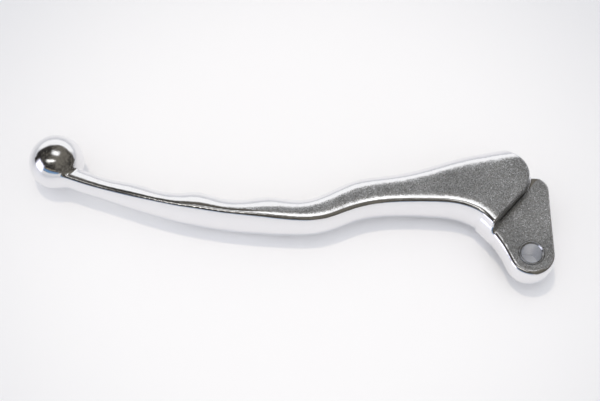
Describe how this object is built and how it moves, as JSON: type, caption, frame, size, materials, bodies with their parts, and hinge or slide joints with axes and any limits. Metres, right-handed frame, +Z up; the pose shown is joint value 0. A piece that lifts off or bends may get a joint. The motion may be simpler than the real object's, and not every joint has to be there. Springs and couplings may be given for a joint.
{
  "type": "motorcycle clutch lever",
  "caption": "Cast aluminium clutch lever with a ball end, a curved finger blade and a stepped pivot tongue that swings on a thin steel collar.",
  "frame": {"origin": "on the pivot axis, half way through the pivot tongue and the collar", "axes": "+Z up along the pivot screw as mounted, -X outboard towards the ball end, +X inboard towards the middle of the handlebar, +Y forward to the finger side, -Y towards the grip"},
  "size_m": [0.1707, 0.0517, 0.018],
  "materials": {
    "cast_aluminium": "satin cast faces, polished edges and ball",
    "collar_steel": "drawn and zinc plated"
  },
  "bodies": {
    "pivot": {"pivot_collar": "collar_steel"},
    "lever": {"lever_casting": "cast_aluminium"}
  },
  "joints": [
    {"name": "lever_pull", "type": "hinge", "parent": "pivot", "child": "lever", "pos_m": [0, 0, 0], "axis": [0, 0, 1], "range_deg": [0, 24]}
  ]
}
